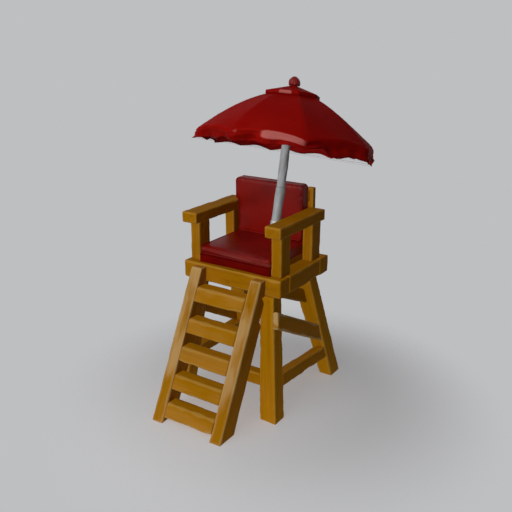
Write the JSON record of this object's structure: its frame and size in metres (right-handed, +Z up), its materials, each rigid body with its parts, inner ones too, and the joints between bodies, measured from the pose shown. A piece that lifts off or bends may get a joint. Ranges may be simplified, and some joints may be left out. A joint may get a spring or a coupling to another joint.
{
  "type": "lifeguard chair",
  "caption": "Tall timber lifeguard chair with splayed braced legs, a sloping front ladder, a cushioned seat with armrests, and a leaning round beach umbrella.",
  "frame": {"origin": "middle of the overall box in plan, on the ground under the feet", "axes": "+X across the chair towards the seated person's left (the umbrella's side), +Y from the ladder to the back, +Z up"},
  "size_m": [1.5028, 1.6497, 2.5814],
  "materials": {
    "wood": "worn yellow-orange oil stain on hand-hewn timber",
    "vinyl": "dark red padded leathercloth, soft sheen",
    "cloth": "red woven awning cloth, matt",
    "ball": "red, soft sheen",
    "pole": "pale grey satin paint",
    "metal": "dull galvanised"
  },
  "bodies": {
    "root": {"leg_front_left": "wood", "leg_front_right": "wood", "leg_back_left": "wood", "leg_back_right": "wood", "deck_beam_front": "wood", "deck_beam_back": "wood", "deck_beam_left": "wood", "deck_beam_right": "wood", "stretcher_front": "wood", "stretcher_left": "wood", "stretcher_right": "wood", "side_brace_left": "wood", "side_brace_right": "wood", "knee_brace_left": "wood", "knee_brace_right": "wood", "ladder_rail_left": "wood", "ladder_rail_right": "wood", "ladder_tread_1": "wood", "ladder_tread_2": "wood", "ladder_tread_3": "wood", "ladder_tread_4": "wood", "ladder_tread_5": "wood", "seat_planks": "wood", "arm_post_front_left": "wood", "arm_post_front_right": "wood", "arm_post_back_left": "wood", "arm_post_back_right": "wood", "armrest_left": "wood", "armrest_right": "wood", "back_post_left": "wood", "back_post_right": "wood", "back_slats": "wood", "seat_bolster": "vinyl", "seat_cushion": "vinyl", "back_cushion": "vinyl", "umbrella_holder": "metal", "umbrella_pole_lower": "pole", "umbrella_pole_upper": "pole", "umbrella_runner": "metal", "umbrella_crown": "metal", "umbrella_ribs": "metal", "umbrella_stays": "metal", "umbrella_canopy": "cloth", "umbrella_vent_cap": "cloth", "umbrella_ball": "ball"}
  },
  "joints": []
}
